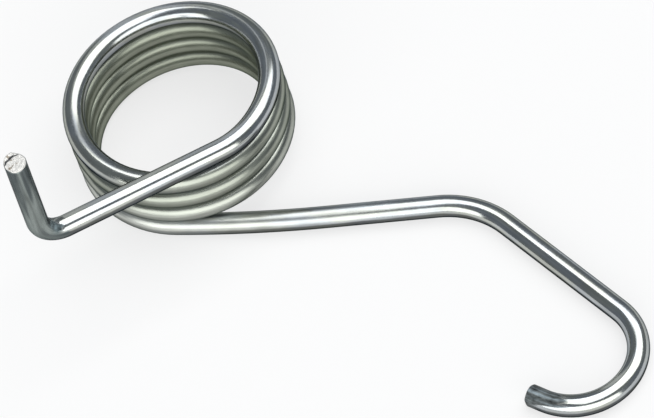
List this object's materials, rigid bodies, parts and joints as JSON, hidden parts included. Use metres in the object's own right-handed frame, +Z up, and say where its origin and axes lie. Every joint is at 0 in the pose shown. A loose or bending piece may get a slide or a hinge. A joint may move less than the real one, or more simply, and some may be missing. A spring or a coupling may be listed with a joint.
{
  "type": "torsion spring",
  "caption": "Left-hand torsion spring of round zinc-plated wire: a close-wound coil with an upright pin on a short leg and an open hook on a long cranked leg.",
  "frame": {"origin": "centre of the coil's lowest turn, on the plane that the spring rests on", "axes": "+X along the long leg towards the elbow, +Y away from the hook, +Z up from the resting plane towards the pin"},
  "size_m": [0.0665, 0.0539, 0.026],
  "materials": {
    "zinc_plated_wire": "bright zinc plate on drawn spring wire, semi-gloss"
  },
  "bodies": {
    "root": {"spring_wire": "zinc_plated_wire"}
  },
  "joints": []
}
